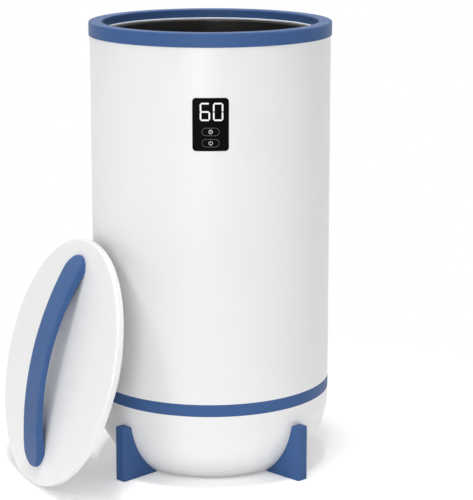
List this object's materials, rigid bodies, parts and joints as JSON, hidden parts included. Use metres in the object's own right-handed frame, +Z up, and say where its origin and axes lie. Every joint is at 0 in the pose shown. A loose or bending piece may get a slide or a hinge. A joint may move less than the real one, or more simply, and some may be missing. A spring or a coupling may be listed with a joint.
{
  "type": "towel warmer bucket",
  "caption": "Tall round towel warmer bucket on fin feet, with blue rim and trim rings, a front panel with buttons and a lift-off lid leaning at its side.",
  "frame": {"origin": "on the floor under the bucket's axis, at the centre of the rubber base ring", "axes": "+Z up along the bucket's axis, -Y to the front where the control panel is, +X to the right seen from the front"},
  "size_m": [0.414, 0.3821, 0.554],
  "materials": {
    "black_plastic": "matte",
    "blue_plastic": "semi-gloss",
    "bucket_coating": "dark non-stick coating",
    "circuit_green": "solder mask",
    "clear_grey_rubber": "silicone",
    "felt": "felt",
    "foam": "foam",
    "grey_plastic": "matte",
    "heater_mat": "matte",
    "rubber_black": "matte",
    "steel": "plated",
    "white_plastic": "semi-gloss",
    "window_black": "high gloss"
  },
  "bodies": {
    "bucket": {"base_bowl": "white_plastic", "base_cover": "grey_plastic", "base_cover_screws": "steel", "base_ring": "rubber_black", "chassis": "grey_plastic", "control_board": "circuit_green", "control_housing": "black_plastic", "control_screws": "steel", "cord_gland": "black_plastic", "display_module": "black_plastic", "display_window": "window_black", "filter_capacitor": "black_plastic", "foot_front_left": "blue_plastic", "foot_front_right": "blue_plastic", "foot_pads": "rubber_black", "foot_rear_left": "blue_plastic", "foot_rear_right": "blue_plastic", "foot_screws": "steel", "fuse_clip": "steel", "gland_nut": "black_plastic", "heater_leads": "heater_mat", "heater_wrap": "heater_mat", "inner_bucket": "bucket_coating", "inner_gasket": "clear_grey_rubber", "insulation_sleeve": "felt", "outer_shell": "white_plastic", "power_board": "circuit_green", "power_board_screws": "steel", "power_switch": "black_plastic", "relay": "black_plastic", "ribbon_cable": "grey_plastic", "ribbon_connectors": "white_plastic", "rim_ring": "blue_plastic", "sensor_screws": "steel", "temperature_sensor": "steel", "terminal_block": "grey_plastic", "thermal_fuse": "steel", "thermostat": "steel", "thermostat_bracket": "steel", "timer_switch": "black_plastic", "transformer": "steel", "trim_ring": "blue_plastic", "upper_frame": "grey_plastic"},
    "lid": {"lid_cover": "white_plastic", "lid_liner": "white_plastic", "lid_seal": "clear_grey_rubber", "lid_insulation": "foam", "lid_handle": "blue_plastic", "handle_screws": "steel", "lid_liner_screws": "steel"},
    "timer_button": {"timer_button": "window_black", "timer_switch_plunger": "grey_plastic"},
    "power_button": {"power_button": "window_black", "power_switch_plunger": "grey_plastic"}
  },
  "joints": [
    {"name": "lid_pull_away", "type": "slide", "parent": "bucket", "child": "lid", "axis": [-0.8556, -0.436, 0.279], "range_m": [0, 0.3]},
    {"name": "timer_button_press", "type": "slide", "parent": "bucket", "child": "timer_button", "axis": [0, 1, 0], "range_m": [0, 0.0008], "stiffness_N_per_m": 800, "springref_m": -0.001},
    {"name": "power_button_press", "type": "slide", "parent": "bucket", "child": "power_button", "axis": [0, 1, 0], "range_m": [0, 0.0008], "stiffness_N_per_m": 800, "springref_m": -0.001}
  ]
}
